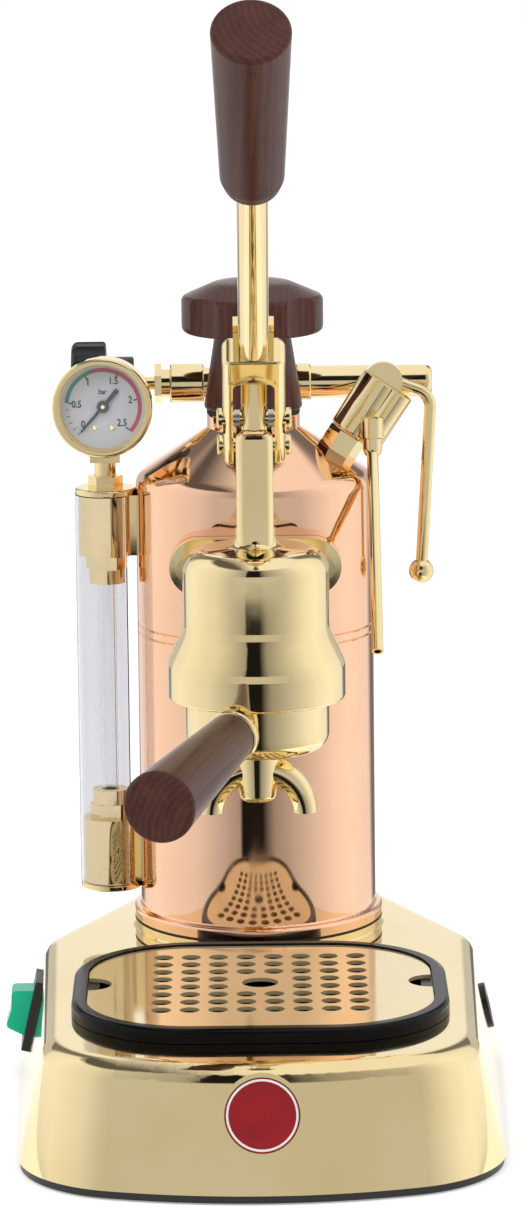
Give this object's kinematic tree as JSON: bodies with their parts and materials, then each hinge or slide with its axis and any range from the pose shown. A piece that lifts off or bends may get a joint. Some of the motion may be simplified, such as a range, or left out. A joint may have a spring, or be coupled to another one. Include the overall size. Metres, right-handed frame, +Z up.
{
  "type": "lever espresso machine",
  "caption": "Lever espresso machine: polished copper boiler and piston group on a brass base, with wooden grips, portafilter, drip tray, sight glass, gauge and steam tap.",
  "frame": {"origin": "on the floor under the boiler's axis", "axes": "+Z up, -Y to the front where the handles point, +X to the side of the steam tap"},
  "size_m": [0.2122, 0.3567, 0.4742],
  "materials": {
    "brass": "polished to a mirror",
    "copper": "copper polished to a mirror",
    "black_plastic": "moulded",
    "gloss_black": "moulded gloss",
    "rubber": "moulded",
    "wood": "dark satin varnish",
    "clear": "clear",
    "clear_plastic": "clear moulded plastic",
    "steel": "machined",
    "red_enamel": "gloss enamel",
    "white_enamel": "matt print",
    "dark_enamel": "matt",
    "green_plastic": "moulded gloss"
  },
  "bodies": {
    "machine": {"base_shell": "brass", "base_rim": "black_plastic", "base_plate": "steel", "rubber_mat": "rubber", "badge_bezel": "brass", "badge_disc": "red_enamel", "switch_bezel": "black_plastic", "cord_gland": "black_plastic", "boiler_shell": "copper", "boiler_dome": "copper", "boiler_neck": "copper", "boiler_gasket": "rubber", "heater_flange": "steel", "boiler_ring_nut": "steel", "heating_element": "steel", "group_body": "brass", "group_gasket": "rubber", "group_bolts": "brass", "cylinder_sleeve": "steel", "group_seal": "rubber", "shower_screen": "steel", "fulcrum_pin": "brass", "valve_manifold": "brass", "safety_valve": "brass", "vent_valve_body": "brass", "sight_upper_block": "brass", "sight_lower_block": "brass", "sight_nuts": "brass", "sight_glass": "clear", "sight_guard": "clear_plastic", "gauge_case": "brass", "gauge_bezel": "brass", "gauge_dial": "white_enamel", "gauge_lens": "clear", "steam_valve_body": "brass"},
    "lever": {"lever_fork": "brass", "lever_rod": "brass", "lever_handle": "wood"},
    "piston": {"piston": "steel", "piston_seals": "rubber", "piston_rod": "steel", "rod_pin": "brass", "rod_rollers": "steel"},
    "portafilter": {"portafilter_body": "brass", "filter_basket": "steel", "portafilter_spout": "brass", "handle_ferrule": "brass", "portafilter_handle": "wood"},
    "drip_tray": {"drip_tray": "gloss_black"},
    "drip_grid": {"drip_grid": "brass"},
    "switch_rocker": {"switch_rocker": "green_plastic"},
    "steam_lever": {"steam_lever": "brass"},
    "steam_wand": {"steam_wand": "brass"},
    "cap_gasket": {"cap_gasket": "rubber"},
    "cap": {"cap_knob": "wood", "cap_plug": "brass"},
    "vent_knob": {"vent_knob": "black_plastic", "vent_spindle": "brass"},
    "gauge_needle": {"gauge_needle": "dark_enamel"}
  },
  "joints": [
    {"name": "lever_swing", "type": "hinge", "parent": "machine", "child": "lever", "pos_m": [0, -0.078, 0.2777], "axis": [-1, 0, 0], "range_deg": [-74, 6]},
    {"name": "piston_slide", "type": "slide", "parent": "machine", "child": "piston", "axis": [0, 0, 1], "range_m": [-0.0298, 0.0025]},
    {"name": "portafilter_turn", "type": "hinge", "parent": "machine", "child": "portafilter", "pos_m": [0, -0.098, 0.1752], "axis": [0, 0, -1], "range_deg": [0, 45]},
    {"name": "tray_lift", "type": "slide", "parent": "machine", "child": "drip_tray", "axis": [0, 0, 1], "range_m": [0, 0.04]},
    {"name": "grid_lift", "type": "slide", "parent": "drip_tray", "child": "drip_grid", "axis": [0, 0, 1], "range_m": [0, 0.025]},
    {"name": "switch_rock", "type": "hinge", "parent": "machine", "child": "switch_rocker", "pos_m": [-0.09739, -0.04217, 0.0265], "axis": [0.0267, -0.9996, 0], "range_deg": [-16, 0]},
    {"name": "steam_lever_swing", "type": "hinge", "parent": "machine", "child": "steam_lever", "pos_m": [0.05579, 0, 0.29246], "axis": [0, -1, 0], "range_deg": [0, 90]},
    {"name": "wand_swivel", "type": "hinge", "parent": "machine", "child": "steam_wand", "pos_m": [0.05077, -0.0105, 0.26473], "axis": [0, 0, 1], "range_deg": [0, 50]},
    {"name": "cap_lift", "type": "slide", "parent": "machine", "child": "cap_gasket", "axis": [0, 0, 1], "range_m": [0, 0.06]},
    {"name": "cap_turn", "type": "hinge", "parent": "cap_gasket", "child": "cap", "pos_m": [0, 0, 0.281], "axis": [0, 0, 1], "continuous": true},
    {"name": "vent_turn", "type": "hinge", "parent": "machine", "child": "vent_knob", "pos_m": [-0.0213, 0.03, 0.288], "axis": [-1, 0, 0], "range_deg": [0, 360]},
    {"name": "needle_turn", "type": "hinge", "parent": "machine", "child": "gauge_needle", "pos_m": [-0.0645, -0.00949, 0.2835], "axis": [0.0523, 0.9986, 0], "range_deg": [0, 272], "stiffness_Nm_per_rad": 0.0005}
  ],
  "couplings": [
    {"joint": "piston_slide", "follows": "lever_swing", "m_per_rad": 0.023}
  ]
}
